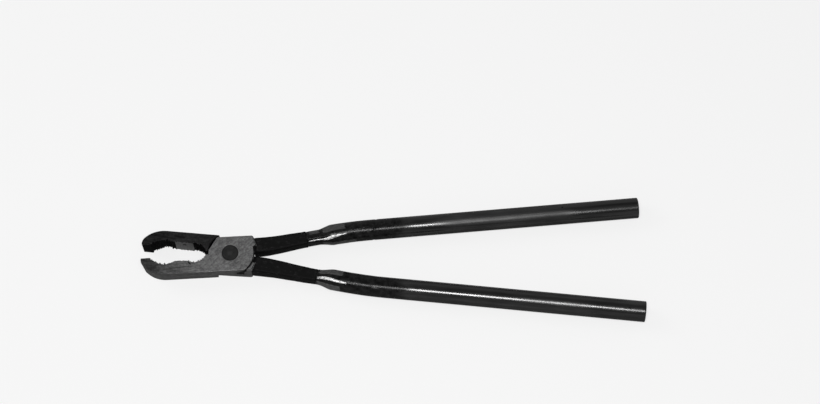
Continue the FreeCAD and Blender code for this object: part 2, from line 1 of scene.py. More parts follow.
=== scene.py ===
import math
from contextlib import contextmanager
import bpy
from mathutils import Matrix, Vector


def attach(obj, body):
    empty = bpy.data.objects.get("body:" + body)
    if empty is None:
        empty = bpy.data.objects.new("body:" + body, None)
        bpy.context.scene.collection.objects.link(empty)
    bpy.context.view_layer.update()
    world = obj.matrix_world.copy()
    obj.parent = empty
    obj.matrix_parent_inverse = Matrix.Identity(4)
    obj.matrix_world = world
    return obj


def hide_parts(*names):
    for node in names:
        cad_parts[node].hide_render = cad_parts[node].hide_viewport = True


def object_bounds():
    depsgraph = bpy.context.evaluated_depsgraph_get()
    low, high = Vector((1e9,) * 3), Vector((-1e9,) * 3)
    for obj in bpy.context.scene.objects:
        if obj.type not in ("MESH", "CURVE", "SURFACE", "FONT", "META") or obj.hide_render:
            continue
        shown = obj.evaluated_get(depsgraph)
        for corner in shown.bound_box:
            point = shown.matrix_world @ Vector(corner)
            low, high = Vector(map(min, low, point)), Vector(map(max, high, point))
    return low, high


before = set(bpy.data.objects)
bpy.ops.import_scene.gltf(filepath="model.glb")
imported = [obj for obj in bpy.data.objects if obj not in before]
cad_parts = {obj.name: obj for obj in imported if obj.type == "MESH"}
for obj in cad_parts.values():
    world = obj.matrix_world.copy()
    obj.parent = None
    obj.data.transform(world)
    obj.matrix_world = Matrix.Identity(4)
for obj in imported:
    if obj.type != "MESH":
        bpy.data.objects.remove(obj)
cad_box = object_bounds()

from types import SimpleNamespace

import bmesh
import bpy
import numpy as np
from mathutils import Euler, Vector, kdtree, noise
from mathutils.bvhtree import BVHTree

# Long-handled crucible tongs.  Row frame: origin on the rivet's axis at the face the tongs rest
# on, +X towards the handles, +Y towards the front half's handle, +Z up.
#
# Lengths below are in millimetres and angles in degrees, unless a line says otherwise.  Meshes are
# worked on in millimetres and hold metres.

MM = 0.001

THICKNESS = 16.0
MIDDLE = THICKNESS / 2
REAR_OPENING = -5.35  # turn of the rear half from closed
FRONT_OPENING = 4.35  # turn of the front half from closed
RIDGE_LEAN = 22.0  # lean of the necks' upper ridges towards -Y
NICK = ((-32.3, -6.7), (-29.9, -9.6))  # the small cut across the front jaw's inner edge

VOXEL = 0.32  # grain of the forgings' meshes
ROUND = 96  # steps round the rivet and the tubes


# ---------------------------------------------------------------- numbers

def smooth(value, low, high):
    """0 up to low and 1 from high on, with an even slope at both ends."""
    share = np.clip((value - low) / (high - low), 0.0, 1.0)
    return share * share * (3 - 2 * share)


def relief(points, size, seed, octaves=3):
    """Smooth noise of about -1 to 1 at each point, for lumps of about that size."""
    shift = Vector((seed * 17.3, seed * 5.1, seed * 9.7))
    values = [
        noise.fractal(Vector(point) / size + shift, 1.0, 2.0, octaves) for point in points
    ]
    return np.array(values)


def turned(points, degrees):
    """Points turned about the rivet's axis."""
    angle = math.radians(degrees)
    x = points[:, 0] * math.cos(angle) - points[:, 1] * math.sin(angle)
    y = points[:, 0] * math.sin(angle) + points[:, 1] * math.cos(angle)
    return np.column_stack([x, y, points[:, 2]])


# ---------------------------------------------------------------- materials

def grey(value):
    """The linear value of a screen grey from 0 to 255."""
    return ((value / 255 + 0.055) / 1.055) ** 2.4


class Finish:
    """One procedural material.

    Most calls add a node and return its output.  colour, rough and metal are the surface so far,
    and layer and darken lay something over it.
    """

    def __init__(self, name):
        self.material = bpy.data.materials.new(name)
        self.material.use_nodes = True
        self.tree = self.material.node_tree
        self.shader = self.tree.nodes["Principled BSDF"]
        self.place = self.add("ShaderNodeTexCoord").outputs["Object"]
        self.colour = self.rough = self.metal = 0.0

    def add(self, kind, **settings):
        node = self.tree.nodes.new(kind)
        for key, value in settings.items():
            setattr(node, key, value)
        return node

    def feed(self, socket, value):
        """Link or set an input, as value is an output or a plain number."""
        if isinstance(value, bpy.types.NodeSocket):
            self.tree.links.new(value, socket)
        else:
            socket.default_value = value

    def math(self, operation, first, second=0.0):
        node = self.add("ShaderNodeMath", operation=operation)
        self.feed(node.inputs[0], first)
        self.feed(node.inputs[1], second)
        return node.outputs[0]

    def plus(self, first, second):
        return self.math("ADD", first, second)

    def times(self, first, second):
        return self.math("MULTIPLY", first, second)

    def size_of(self, value):
        return self.math("ABSOLUTE", value)

    def inverse(self, share):
        """0 where share is 1, and 1 where it is 0."""
        return self.plus(1.0, self.times(share, -1.0))

    def reach(self, first, second):
        """The length of a step of first one way and second square to it."""
        return self.math("SQRT", self.plus(self.times(first, first), self.times(second, second)))

    def step(self, value, low, high):
        """0 below low and 1 above high; with low above high, the other way round."""
        node = self.add("ShaderNodeMapRange", interpolation_type="SMOOTHSTEP")
        self.feed(node.inputs["Value"], value)
        falling = low > high
        self.feed(node.inputs["From Min"], min(low, high))
        self.feed(node.inputs["From Max"], max(low, high))
        self.feed(node.inputs["To Min"], 1.0 if falling else 0.0)
        self.feed(node.inputs["To Max"], 0.0 if falling else 1.0)
        return node.outputs["Result"]

    def band(self, value, low, high, fade):
        """1 between low and high, falling to 0 over fade outside them."""
        return self.times(self.step(value, low - fade, low), self.step(value, high + fade, high))

    def mix(self, share, first, second):
        """first where share is 0, and second where it is 1."""
        node = self.add("ShaderNodeMix", data_type="FLOAT")
        self.feed(node.inputs[0], share)
        self.feed(node.inputs[2], first)
        self.feed(node.inputs[3], second)
        return node.outputs[0]

    def axes(self, degrees=0.0, shift=(0.0, 0.0, 0.0), stretch=(1.0, 1.0, 1.0)):
        """Position in millimetres, in a frame turned by degrees about the rivet's axis.

        shift is the frame's origin, and a stretch below 1 draws a noise out along its axis.
        """
        scaled = self.add("ShaderNodeMapping", vector_type="POINT")
        self.feed(scaled.inputs["Vector"], self.place)
        scaled.inputs["Scale"].default_value = (1 / MM, 1 / MM, 1 / MM)
        scaled.inputs["Rotation"].default_value = (0, 0, math.radians(-degrees))
        scaled.inputs["Location"].default_value = [-value for value in shift]
        stretched = self.add("ShaderNodeMapping", vector_type="POINT")
        self.feed(stretched.inputs["Vector"], scaled.outputs[0])
        stretched.inputs["Scale"].default_value = stretch
        return stretched.outputs[0]

    def split(self, vector):
        node = self.add("ShaderNodeSeparateXYZ")
        self.feed(node.inputs[0], vector)
        return node.outputs

    def noise(self, vector, size, detail=3.0, rough=0.55, twist=0.0, contrast=2.6):
        """Noise from 0 to 1 about 0.5, in lumps of about size millimetres."""
        node = self.add("ShaderNodeTexNoise")
        self.feed(node.inputs["Vector"], vector)
        self.feed(node.inputs["Scale"], 1 / size)
        self.feed(node.inputs["Detail"], detail)
        self.feed(node.inputs["Roughness"], rough)
        self.feed(node.inputs["Distortion"], twist)
        spread = self.add("ShaderNodeMapRange")
        self.feed(spread.inputs["Value"], node.outputs["Fac"])
        self.feed(spread.inputs["From Min"], 0.5 - 0.5 / contrast)
        self.feed(spread.inputs["From Max"], 0.5 + 0.5 / contrast)
        return spread.outputs["Result"]

    def swing(self, source, width):
        """From half of width below 0 to half of it above, as source goes from 0 to 1."""
        return self.times(self.plus(source, -0.5), width)

    def vary(self, value, source, amount):
        """value, changed by up to about its share amount where source differs from a half."""
        return self.times(value, self.plus(self.swing(source, 2 * amount), 1.0))

    def stroke(self, start, end, width):
        """1 on a short straight mark between two points of the plan, 0 off it."""
        heading = math.atan2(end[1] - start[1], end[0] - start[0])
        length = math.hypot(end[0] - start[0], end[1] - start[1])
        first = (
            start[0] * math.cos(heading) + start[1] * math.sin(heading),
            start[1] * math.cos(heading) - start[0] * math.sin(heading),
            0.0,
        )
        along, across, _ = self.split(self.axes(math.degrees(heading), first))
        return self.times(self.band(along, 0.0, length, width / 2),
                          self.step(self.size_of(across), width * 0.6, width * 0.25))

    def layer(self, mask, colour=None, rough=None, metal=None):
        """Lay what is given over the surface so far, where mask is 1."""
        if colour is not None:
            self.colour = self.mix(mask, self.colour, colour)
        if rough is not None:
            self.rough = self.mix(mask, self.rough, rough)
        if metal is not None:
            self.metal = self.mix(mask, self.metal, metal)

    def darken(self, mask, value):
        """Lay a dark screen grey over the surface so far, where mask is 1: scale, dirt and marks,
        and painted shade in the gaps round the front half's boss.
        """
        self.layer(mask, colour=grey(value), metal=0.0)

    def finish(self, height, depth, sheen):
        """The material, with a bump of depth millimetres for a height from 0 to 1."""
        bump = self.add("ShaderNodeBump")
        bump.inputs["Distance"].default_value = depth * MM
        self.feed(bump.inputs["Height"], height)
        self.feed(self.shader.inputs["Base Color"], self.colour)
        self.feed(self.shader.inputs["Roughness"], self.rough)
        self.feed(self.shader.inputs["Metallic"], self.metal)
        self.feed(self.shader.inputs["Normal"], bump.outputs["Normal"])
        self.feed(self.shader.inputs["Specular IOR Level"], sheen)
        return self.material


def black_paint(f, place, heading, base):
    """Colour, roughness and height of the thin black paint on the reins and necks."""
    mottle = f.noise(place, 4.0, 5.0, 0.65)
    dust = f.noise(place, 0.8, 4.0, 0.7)
    smear = f.noise(f.axes(heading, stretch=(0.45, 1.0, 1.0)), 1.5, 6.0, 0.72, 0.5)
    haze = f.times(f.step(smear, 0.60, 0.95), f.step(mottle, 0.3, 0.8))
    colour = f.mix(f.times(haze, 0.6), f.vary(grey(base), mottle, 0.8), grey(56))
    rough = f.mix(mottle, 0.30, 0.44)
    height = f.plus(f.times(mottle, 0.6), f.times(dust, 0.4))
    return colour, rough, height


def forging_finish(name, opening, side, greys, hump):
    """Ground faces, forged sides, black toothed walls, and paint from the shoulder on.

    side is 1 where the rein leaves towards +Y and -1 for the other half.  greys are those of the
    boss, the jaw, the nose and the sides, and hump is where the ground hump begins and ends.
    """
    f = Finish(name)
    place = f.axes(opening)
    along, across, up = f.split(place)
    at = SimpleNamespace(
        along=along,
        across=across,
        up=up,
        out=f.size_of(f.plus(up, -MIDDLE)),
        aside=f.size_of(across),
        radius=f.reach(along, across),
        level=f.size_of(f.split(f.add("ShaderNodeTexCoord").outputs["Normal"])["Z"]),
        speck=f.noise(place, 1.3, 4.0, 0.7),
        cloud=f.noise(place, 4.5, 4.0, 0.6, 0.6),
        lines=f.noise(f.axes(opening, stretch=(0.10, 1.2, 2.6)), 1.2, 5.0, 0.7),
    )
    f.colour = f.vary(f.vary(grey(greys[3]), at.lines, 0.55), at.cloud, 0.25)
    f.rough, f.metal = 0.55, 0.85
    grain = ground_faces(f, at, opening, greys)
    wall = mouth_walls(f, at, hump)
    painted = painted_part(f, at, side)
    paint_colour, paint_rough, paint_height = black_paint(f, place, opening + side * 6, 5)
    f.layer(painted, paint_colour, f.plus(paint_rough, 0.3), 0.0)
    ragged_up = f.plus(at.up, f.swing(at.speck, 1.2))
    if side > 0:
        front_marks(f, at, ragged_up)
    else:
        rear_marks(f, at, ragged_up, wall, painted)
    return f.finish(f.mix(painted, grain, paint_height), 0.07, 0.12)


def ground_faces(f, at, opening, greys):
    """Cloudy, speckled faces with slanting grinding marks; returns the bare steel's relief."""
    boss_grey, jaw_grey, nose_grey, _ = greys
    marks = f.noise(f.axes(opening + 32, stretch=(0.28, 1.5, 1.0)), 1.3, 5.0, 0.7)
    rubbed = f.plus(f.swing(at.lines, 1.5), 0.5)
    face = f.step(at.out, 7.3, 7.75)
    colour = f.mix(f.step(at.along, -26.0, -44.0), grey(boss_grey), grey(jaw_grey))
    colour = f.mix(f.step(at.along, -46.0, -58.0), colour, grey(nose_grey))
    colour = f.vary(colour, f.mix(f.step(at.along, -16.0, -28.0), marks, rubbed), 0.36)
    colour = f.vary(f.vary(colour, at.speck, 0.34), at.cloud, 0.24)
    f.layer(face, colour, f.mix(at.speck, 0.36, 0.52))
    return f.plus(f.times(at.speck, 0.4), f.times(f.mix(face, at.lines, marks), 0.6))


def mouth_walls(f, at, hump):
    """Black scale in the toothed hollows, bright on the hump; returns where the walls are."""
    mouth = f.times(f.step(at.along, -16.9, -17.4), f.step(at.aside, 7.4, 6.6))
    upright = f.step(at.level, 0.8, 0.5)
    wall = f.times(mouth, f.math("MAXIMUM", upright, f.step(at.out, 7.2, 6.8)))
    ground = f.band(f.plus(at.along, f.swing(at.speck, 0.9)), -hump[0], -hump[1], 0.25)
    f.layer(f.times(wall, ground), f.vary(grey(132), at.lines, 0.3))
    f.layer(f.times(wall, f.inverse(ground)), f.vary(grey(4), at.cloud, 0.4), 0.95, 0.0)
    return wall


def painted_part(f, at, side):
    """1 on the painted rein: from a square edge on the shoulder, and from the heel's rim beside it.

    The heel's own face stays bare.
    """
    on_top = f.step(at.out, 6.0, 6.6)
    slant = f.plus(f.times(at.aside, 0.358), -2.08)
    beyond_shoulder = f.step(f.plus(f.plus(at.along, slant), f.times(on_top, -0.35)), 20.05, 20.35)
    beyond_heel = f.times(f.step(at.radius, 17.6, 17.9), f.step(at.along, 9.0, 11.0))
    on_shoulder = f.step(f.times(at.across, side), 5.0, 5.6)
    flat = f.step(at.level, 0.6, 0.9)
    heel_face = f.times(f.times(flat, f.inverse(on_shoulder)), on_top)
    past_edge = f.mix(on_shoulder, beyond_heel, beyond_shoulder)
    firmer = f.plus(1.0, f.times(heel_face, f.step(at.radius, 18.6, 18.2)))
    return f.math("MINIMUM", f.times(past_edge, firmer), f.inverse(heel_face))


def low_side(f, at):
    """1 on the side that faces -Y, beside the boss."""
    return f.step(at.across, -11.0, -12.0)


def front_marks(f, at, ragged_up):
    """The front half's share of the black wedge under the boss, which is painted shade of the gap
    between the halves, and the nick.
    """
    # painted shade: a black wedge where the gap between the halves lies in shade
    top = f.step(f.plus(ragged_up, f.times(at.along, -0.75)), 6.8, 5.8)
    shade_wedge = f.times(f.band(at.along, 3.6, 12.0, 0.9), top)
    f.darken(f.times(shade_wedge, low_side(f, at)), 1)
    f.darken(f.stroke(*NICK, 1.1), 10)


def rear_marks(f, at, ragged_up, wall, painted):
    """The rear half's share of the wedge's painted shade, a painted highlight on its shoulder,
    painted shade on the rims round the front half's boss, scuffs, pit and fleck.
    """
    # painted shade: a black wedge where the gap between the halves lies in shade
    shade_wedge = f.times(f.band(at.along, 6.4, 11.6, 0.7), f.band(ragged_up, 4.8, 9.0, 0.5))
    f.darken(f.times(shade_wedge, low_side(f, at)), 1)

    # painted highlight: the bare shoulder is lighter, most towards its bevel, where the bevel
    # catches the light
    shoulder = f.times(f.times(f.step(at.along, 8.0, 11.0), f.step(at.out, 6.6, 7.0)),
                       f.inverse(painted))
    wear_and_highlight = f.step(at.radius, 19.0, 21.5)
    f.layer(f.times(shoulder, f.plus(f.times(wear_and_highlight, 0.5), 0.3)), grey(176))

    flat = f.step(at.out, 7.2, 7.6)
    # painted shade: dark rims in the gaps round the front half's boss
    jaw_rim_shade = f.times(f.step(at.along, 2.0, -2.0), f.step(at.radius, 17.8, 17.3))
    jaw_rim_shade = f.times(jaw_rim_shade, f.step(at.up, 7.6, 8.2))
    heel_rim_shade = f.times(f.step(at.along, -2.0, 2.0), f.step(at.radius, 19.6, 18.9))
    f.darken(f.plus(jaw_rim_shade, f.times(heel_rim_shade, flat)), 4)

    scuffs = (((-42.9, 13.9), (-38.6, 12.4), 1.9), ((-38.4, 12.9), (-35.6, 12.2), 2.1))
    for start, end, width in scuffs:
        f.darken(f.times(flat, f.stroke(start, end, width)), 8)
    pit = f.times(f.band(at.along, -37.4, -35.2, 0.5), f.band(at.up, 10.6, 12.2, 0.6))
    f.darken(f.times(wall, pit), 20)
    fleck = f.times(f.stroke((-64.6, 4.3), (-61.6, 3.5), 0.6), 0.5)
    f.layer(f.times(flat, fleck), grey(60))


def rivet_finish(name):
    """Dark ground steel, paler in the middle of the head and dark at its rim."""
    f = Finish(name)
    place = f.axes()
    x, y, _ = f.split(place)
    radius = f.reach(x, y)
    fine = f.noise(place, 1.2, 6.0, 0.7)
    blotch = f.noise(place, 3.0, 4.0, 0.6, 0.4)
    head = f.mix(f.step(radius, 2.8, 0.6), grey(44), grey(58))
    f.colour = f.vary(f.vary(head, blotch, 0.20), fine, 0.16)
    f.rough, f.metal = f.mix(fine, 0.42, 0.6), 0.8
    f.layer(f.step(radius, 5.9, 6.25), grey(24))
    return f.finish(fine, 0.05, 0.2)


def tube_finish(name, handle, scraped, scraped_grey, spatter, specks, dull):
    """Black paint on the neck and bend, wearing through to dark drawn steel on the handle.

    scraped lists the bands that the pressing tool bared: from and to along the neck, and from and
    to round it, in degrees from upright towards -Y.  spatter is the stretch of the ridge that
    carries flecks of weld, and how strong they are.  specks are small dark spots in the plan.
    dull is a stretch that handling has dulled, and its roughness.
    """
    f = Finish(name)
    along = f.split(f.axes())[0]
    paint_colour, paint_rough, paint_height = black_paint(
        f, f.axes(handle.heading), handle.heading, 21)
    drawn = f.noise(f.axes(handle.heading, stretch=(0.03, 1.0, 1.0)), 0.5, 4.0, 0.6)
    cloud = f.noise(f.axes(handle.heading, stretch=(0.25, 1.0, 1.0)), 5.0, 4.0, 0.6)
    bands = f.noise(f.axes(handle.heading, stretch=(0.008, 1.0, 1.0)), 3.0, 3.0, 0.6)
    slow = f.noise(f.axes(handle.heading, stretch=(0.5, 1.0, 1.0)), 16.0, 2.0, 0.5)
    steel = f.vary(f.vary(f.vary(grey(66), drawn, 0.18), cloud, 0.18), bands, 0.4)
    wear_and_highlight = f.plus(along, f.swing(cloud, 9.0))
    bare = f.step(wear_and_highlight, 126.0, 143.0)
    handled = f.band(wear_and_highlight, dull[0], dull[1], 20.0)
    polish = f.mix(handled, f.mix(slow, 0.18, 0.26), dull[2])
    f.colour, f.rough = paint_colour, f.plus(paint_rough, -0.12)
    f.layer(bare, steel, polish, 0.9)

    turn = handle.opening + handle.side * handle.angle
    neck = f.axes(turn, handle.mouth_in(turn))
    station, left, up = f.split(neck)
    grain = f.noise(f.axes(turn, stretch=(0.35, 1.0, 1.0)), 1.1, 5.0, 0.7)
    ragged = f.swing(grain, 2.2)
    bearing = f.plus(f.times(f.math("ARCTAN2", f.times(left, -1.0), up), 180 / math.pi),
                     f.times(ragged, 4.0))
    for first, last, low, high in scraped:
        rub = f.times(f.band(f.plus(station, ragged), first, last, 0.7),
                      f.band(bearing, low, high, 5.0))
        f.layer(rub, f.vary(grey(scraped_grey), grain, 0.45), 0.5, 0.6)
    flecks = f.step(f.noise(neck, 1.3, 4.0, 0.7), 0.62, 0.8)
    first, last, strength = spatter
    trail = f.times(f.band(station, first, last, 3.0), f.band(bearing, 12.0, 24.0, 4.0))
    f.layer(f.times(f.times(trail, flecks), strength), grey(150))
    for x, y in specks:
        f.darken(f.times(f.stroke((x, y), (x + 0.4, y), 1.7), f.step(up, 3.0, 5.0)), 2)
    return f.finish(f.mix(bare, paint_height, f.times(drawn, 0.15)), 0.02, 0.12)


def weld_and_highlight_finish(name):
    """Bright dressed weld, near white: partly the weld's own bare steel, partly a painted highlight
    along the neck's ridge.
    """
    f = Finish(name)
    place = f.axes()
    fine = f.noise(place, 0.8, 5.0, 0.7)
    blotch = f.noise(place, 2.0, 4.0, 0.6)
    # painted highlight: the near-white colour stands in for the light that the ridge reflects
    f.colour = f.vary(f.mix(f.step(blotch, 0.2, 0.5), grey(150), grey(240)), fine, 0.12)
    f.rough, f.metal = f.mix(fine, 0.25, 0.45), 0.35
    return f.finish(fine, 0.08, 0.5)


# ---------------------------------------------------------------- meshes

def make_object(name, mesh, body, node, material):
    """Show mesh as a piece that rides on body and stands for a CAD node."""
    piece = bpy.data.objects.new(name, mesh)
    bpy.context.scene.collection.objects.link(piece)
    mesh.materials.clear()
    mesh.materials.append(material)
    mesh.polygons.foreach_set("use_smooth", [True] * len(mesh.polygons))
    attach(piece, body)
    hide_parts(node)


@contextmanager
def opened(mesh):
    """The mesh as a bmesh, which is written back at the end."""
    work = bmesh.new()
    work.from_mesh(mesh)
    yield work
    work.to_mesh(mesh)
    work.free()


def points_of(mesh):
    flat = np.zeros(len(mesh.vertices) * 3)
    mesh.vertices.foreach_get("co", flat)
    return flat.reshape(-1, 3) / MM


def normals_of(mesh):
    flat = np.zeros(len(mesh.vertices) * 3)
    mesh.vertex_normals.foreach_get("vector", flat)
    return flat.reshape(-1, 3)


def set_points(mesh, points):
    """Give the mesh its points, none of them outside the CAD model's box."""
    inside = np.clip(points * MM, cad_box[0], cad_box[1])
    mesh.vertices.foreach_set("co", inside.ravel())
    mesh.update()


def build_grid(name, rings, closed_ends=True):
    """A mesh from rings of equal length, each joined to the next, with its two ends capped."""
    count = len(rings[0])
    points = np.concatenate(rings) * MM
    faces = []
    for ring in range(len(rings) - 1):
        for step in range(count):
            a = ring * count + step
            b = ring * count + (step + 1) % count
            faces.append((a, a + count, b + count, b))
    if closed_ends:
        faces.append(tuple(range(count)))
        faces.append(tuple(reversed(range(len(points) - count, len(points)))))
    mesh = bpy.data.meshes.new(name)
    mesh.from_pydata(points.tolist(), [], faces)
    with opened(mesh) as work:
        bmesh.ops.recalc_face_normals(work, faces=work.faces)
    return mesh


# ---------------------------------------------------------------- the forgings

def even_copy(node):
    """A fine, even mesh of a CAD node with its edges softened by smoothing."""
    work = bpy.data.objects.new("work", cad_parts[node].data.copy())
    bpy.context.scene.collection.objects.link(work)
    with opened(work.data) as joined:
        bmesh.ops.remove_doubles(joined, verts=joined.verts, dist=0.001 * MM)
    remesh = work.modifiers.new("Remesh", "REMESH")
    remesh.mode = "VOXEL"
    remesh.voxel_size = VOXEL * MM
    soften = work.modifiers.new("Soften", "SMOOTH")
    soften.factor = 0.5
    soften.iterations = 1
    hold = work.modifiers.new("Hold", "SHRINKWRAP")
    hold.wrap_method = "NEAREST_SURFACEPOINT"
    hold.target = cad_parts[node]
    graph = bpy.context.evaluated_depsgraph_get()
    mesh = bpy.data.meshes.new_from_object(work.evaluated_get(graph))
    bpy.data.objects.remove(work)
    return mesh


def unfold(mesh, rounds=8):
    """Relax the few points where the mesh passes through itself."""
    with opened(mesh) as work:
        work.verts.ensure_lookup_table()
        corners = np.array([[vertex.index for vertex in face.verts] for face in work.faces])
        for _ in range(rounds):
            tree = BVHTree.FromBMesh(work)
            pairs = np.array(tree.overlap(tree), dtype=int).reshape(-1, 2)
            pairs = pairs[pairs[:, 0] < pairs[:, 1]]
            first, second = corners[pairs[:, 0]], corners[pairs[:, 1]]
            apart = ~(first[:, :, None] == second[:, None, :]).any(axis=(1, 2))
            if not apart.any():
                break
            folded = np.unique(np.concatenate([first[apart], second[apart]]))
            bmesh.ops.smooth_vert(work, verts=[work.verts[index] for index in folded], factor=0.5,
                                  use_axis_x=True, use_axis_y=True, use_axis_z=True)


def toothed_part(half, hump):
    """1 at the mouth's toothed hollows, less on the hump between them, and 0 elsewhere."""
    along = half[:, 0]
    mouth = smooth(-along, 19, 21) * (1 - smooth(np.abs(half[:, 1]), 6.2, 9.0))
    mouth *= 1 - smooth(-along, 60.0, 61.5)
    mouth *= 1 - 0.6 * smooth(-along, hump[1], hump[1] + 1) * smooth(along, -hump[0], 1 - hump[0])
    return mouth


def chipped(half, normals, toothed, seed):
    """How far chips set the mouth's walls back, with the faces beside them taken along."""
    deepest, lump, beside = 0.95, 1.2, 2.6
    mouth = np.flatnonzero(toothed > 0)
    wall = np.flatnonzero((toothed > 0) & (np.abs(normals[:, 2]) < 0.3))
    tree = kdtree.KDTree(len(wall))
    for index in wall:
        tree.insert((half[index, 0], half[index, 1], 0.0), index)
    tree.balance()
    gaps = np.array([tree.find((half[index, 0], half[index, 1], 0.0))[2] for index in mouth])
    spots = half[mouth] * (1.0, 0.0, 0.2)
    depth = deepest * np.clip(0.25 + 2.6 * relief(spots, lump, seed, 2), 0.0, 1.0)
    back = np.zeros(len(half))
    back[mouth] = depth * toothed[mouth] * (1 - smooth(gaps, 0.0, beside))
    return back


def groove(points, line, width):
    """1 on a line in the plan, falling to 0 over width either side of it."""
    start, end = (np.array(point) for point in line)
    run = end - start
    share = np.clip(((points[:, :2] - start) @ run) / (run @ run), 0.0, 1.0)
    gap = np.linalg.norm(points[:, :2] - start - share[:, None] * run, axis=1)
    return 1 - smooth(gap, 0.0, width)


def forged_half(node, body, opening, hump, material, seed):
    """One forging, with its chipped mouth, full rein root, and ground, forged and hammered skin."""
    root_swell = 0.13  # share by which the rein's root is thicker than the CAD one
    nick_depth, nick_width = 0.5, 0.5
    nose_draft = 0.061 if body == "rear_half" else 0.0
    mesh = even_copy(node)
    normals = normals_of(mesh)
    half = turned(points_of(mesh), -opening)
    out = np.abs(half[:, 2] - MIDDLE)
    half[:, 0] -= nose_draft * half[:, 2] * smooth(-half[:, 0], 40, 66)
    along = half[:, 0]
    root = smooth(along, 18.5, 20.5) * (1 - smooth(along, 23, 36)) * (1 - smooth(out, 5.8, 6.4))
    half[:, 2] += (half[:, 2] - MIDDLE) * root_swell * root
    side = 1 if body == "front_half" else -1
    half[:, 1] -= side * chipped(half, normals, toothed_part(half, hump), seed + 2)

    points = turned(half, opening)
    face = smooth(out, 7.2, 7.7) * (1 - smooth(along, 16, 20))
    rein = smooth(along, 20, 27)
    crotch = 1 - smooth(along, 34, 60)  # where the closed reins have no room for lumps
    inside_tube = smooth(along, 95, 96)
    coarse = relief(points, 9.0, seed)
    small = relief(points, 2.2, seed + 1)
    lift = 0.03 * coarse * face
    lift += (1 - face) * (1 - rein) * 0.06 * (small - 1)
    lift += rein * ((0.16 * coarse + 0.08 * small) * (1 - 0.8 * crotch) - 0.06 * crotch)
    if body == "front_half":
        upper = smooth(half[:, 2], 9.0, 14.0)
        lift -= nick_depth * groove(points, NICK, nick_width) * upper
    set_points(mesh, points + normals * (lift * (1 - inside_tube))[:, None])
    unfold(mesh)
    make_object(node + "_forging", mesh, body, node, material)


# ---------------------------------------------------------------- the rivet

def rivet(node, body):
    """The turned rivet: flush heads with a worn rim and a slightly hammered face."""
    head, shank, cone = 6.4, 6.0, 1.2
    rim, sunk, hammered = 0.14, 0.05, 0.03
    turn = np.linspace(0, 2 * np.pi, ROUND, endpoint=False)
    profile = [(radius, sunk) for radius in (0.25, 1.0, 2.0, 3.0, 4.0, 5.0, 5.6)]
    for angle in np.radians(np.linspace(0, 90, 6)):
        profile.append((head - rim + rim * math.sin(angle), sunk + rim * (1 - math.cos(angle))))
    profile.append((shank, cone))
    top = [(radius, THICKNESS - height) for radius, height in reversed(profile)]
    rings = []
    for radius, height in profile + top:
        rings.append(np.column_stack([
            radius * np.cos(turn), radius * np.sin(turn), np.full(len(turn), height),
        ]))
    mesh = build_grid("rivet", rings)
    points = points_of(mesh)
    from_middle = points[:, 2] - MIDDLE
    dent = smooth(np.abs(from_middle), 7.4, 7.8) * hammered * (1 + relief(points, 2.6, 5))
    points[:, 2] -= np.sign(from_middle) * dent
    set_points(mesh, points)
    make_object("rivet", mesh, body, node, rivet_finish("rivet_steel"))


# ---------------------------------------------------------------- the handle tubes

class Handle:
    """One handle: its centre line and sections.

    side is 1 for the handle at +Y and -1 for the other.  mouth is how far along its half the tube
    begins, and angle is how far the rein leans out there.  Stations are distances from the mouth:
    the section stays a neck up to neck, and the bend, of bend_angle, begins at bend_start.
    """

    waist = 30.0  # where a rein's straight part begins
    drop = 6.38  # how far aside its middle is there
    radius = 8.0
    wall = 1.5
    neck_half_width = 5.9
    neck_half_height = 6.8
    neck_arc = 9.0
    flare = 11.5  # length over which the neck opens to the full round
    bend_radius = 330.0

    def __init__(self, side, opening, mouth, angle, neck, bend_start, bend_angle, straight):
        self.side = side
        self.opening = opening
        self.mouth = mouth
        self.angle = angle
        self.neck = neck
        self.bend_start = bend_start
        self.bend_length = self.bend_radius * math.radians(bend_angle)
        self.length = bend_start + self.bend_length + straight
        self.heading = opening + side * (angle - bend_angle)

    def place(self, station):
        """The centre line's point in the row frame, and its heading in radians."""
        swing = np.clip(station - self.bend_start, 0, self.bend_length) / self.bend_radius
        past = max(station - self.bend_start - self.bend_length, 0.0)
        ahead = min(station, self.bend_start) + self.bend_radius * math.sin(swing)
        ahead += past * math.cos(swing)
        aside = -self.side * (self.bend_radius * (1 - math.cos(swing)) + past * math.sin(swing))
        lean = self.side * math.radians(self.angle)
        drop = self.drop + (self.mouth - self.waist) * math.tan(math.radians(self.angle))
        x = self.mouth + ahead * math.cos(lean) - aside * math.sin(lean)
        y = self.side * drop + ahead * math.sin(lean) + aside * math.cos(lean)
        turn = math.radians(self.opening)
        point = (
            x * math.cos(turn) - y * math.sin(turn),
            x * math.sin(turn) + y * math.cos(turn),
            MIDDLE,
        )
        return np.array(point), turn + lean - self.side * swing

    def reach(self, station, bearings, inset=0.0):
        """The section's radius at each bearing, 0 towards the left and a quarter turn up."""
        share = float(smooth(station, self.neck, self.neck + self.flare))
        full = self.radius - inset
        width = self.neck_half_width - inset * 0.95
        height = self.neck_half_height - inset * 0.95
        width += (full - width) * share
        height += (full - height) * share
        arc = self.neck_arc - inset
        arc += (full - arc) * share
        return bowed(bearings - math.radians(RIDGE_LEAN), width, height, arc)

    def mouth_in(self, degrees):
        """The mouth's centre in axes turned by degrees about the rivet's axis."""
        return tuple(turned(self.place(0.0)[0][None, :], -degrees)[0])

    def ring(self, station, bearings, reach):
        """The points at each bearing's reach round the centre line."""
        centre, heading = self.place(station)
        left = np.array((-math.sin(heading), math.cos(heading), 0.0))
        up = np.array((0.0, 0.0, 1.0))
        return (
            centre
            + np.outer(reach * np.cos(bearings), left)
            + np.outer(reach * np.sin(bearings), up)
        )

    def stations(self):
        """Close stations over the neck, the bend and the fold, and wider ones on the handle."""
        near = np.arange(0.0, 62.0, 0.4)
        far = np.arange(62.0, self.length - 1.0, 2.0)
        end = self.length - np.array([0.9, 0.5, 0.25, 0.1, 0.0])
        return np.concatenate([near, far, end])


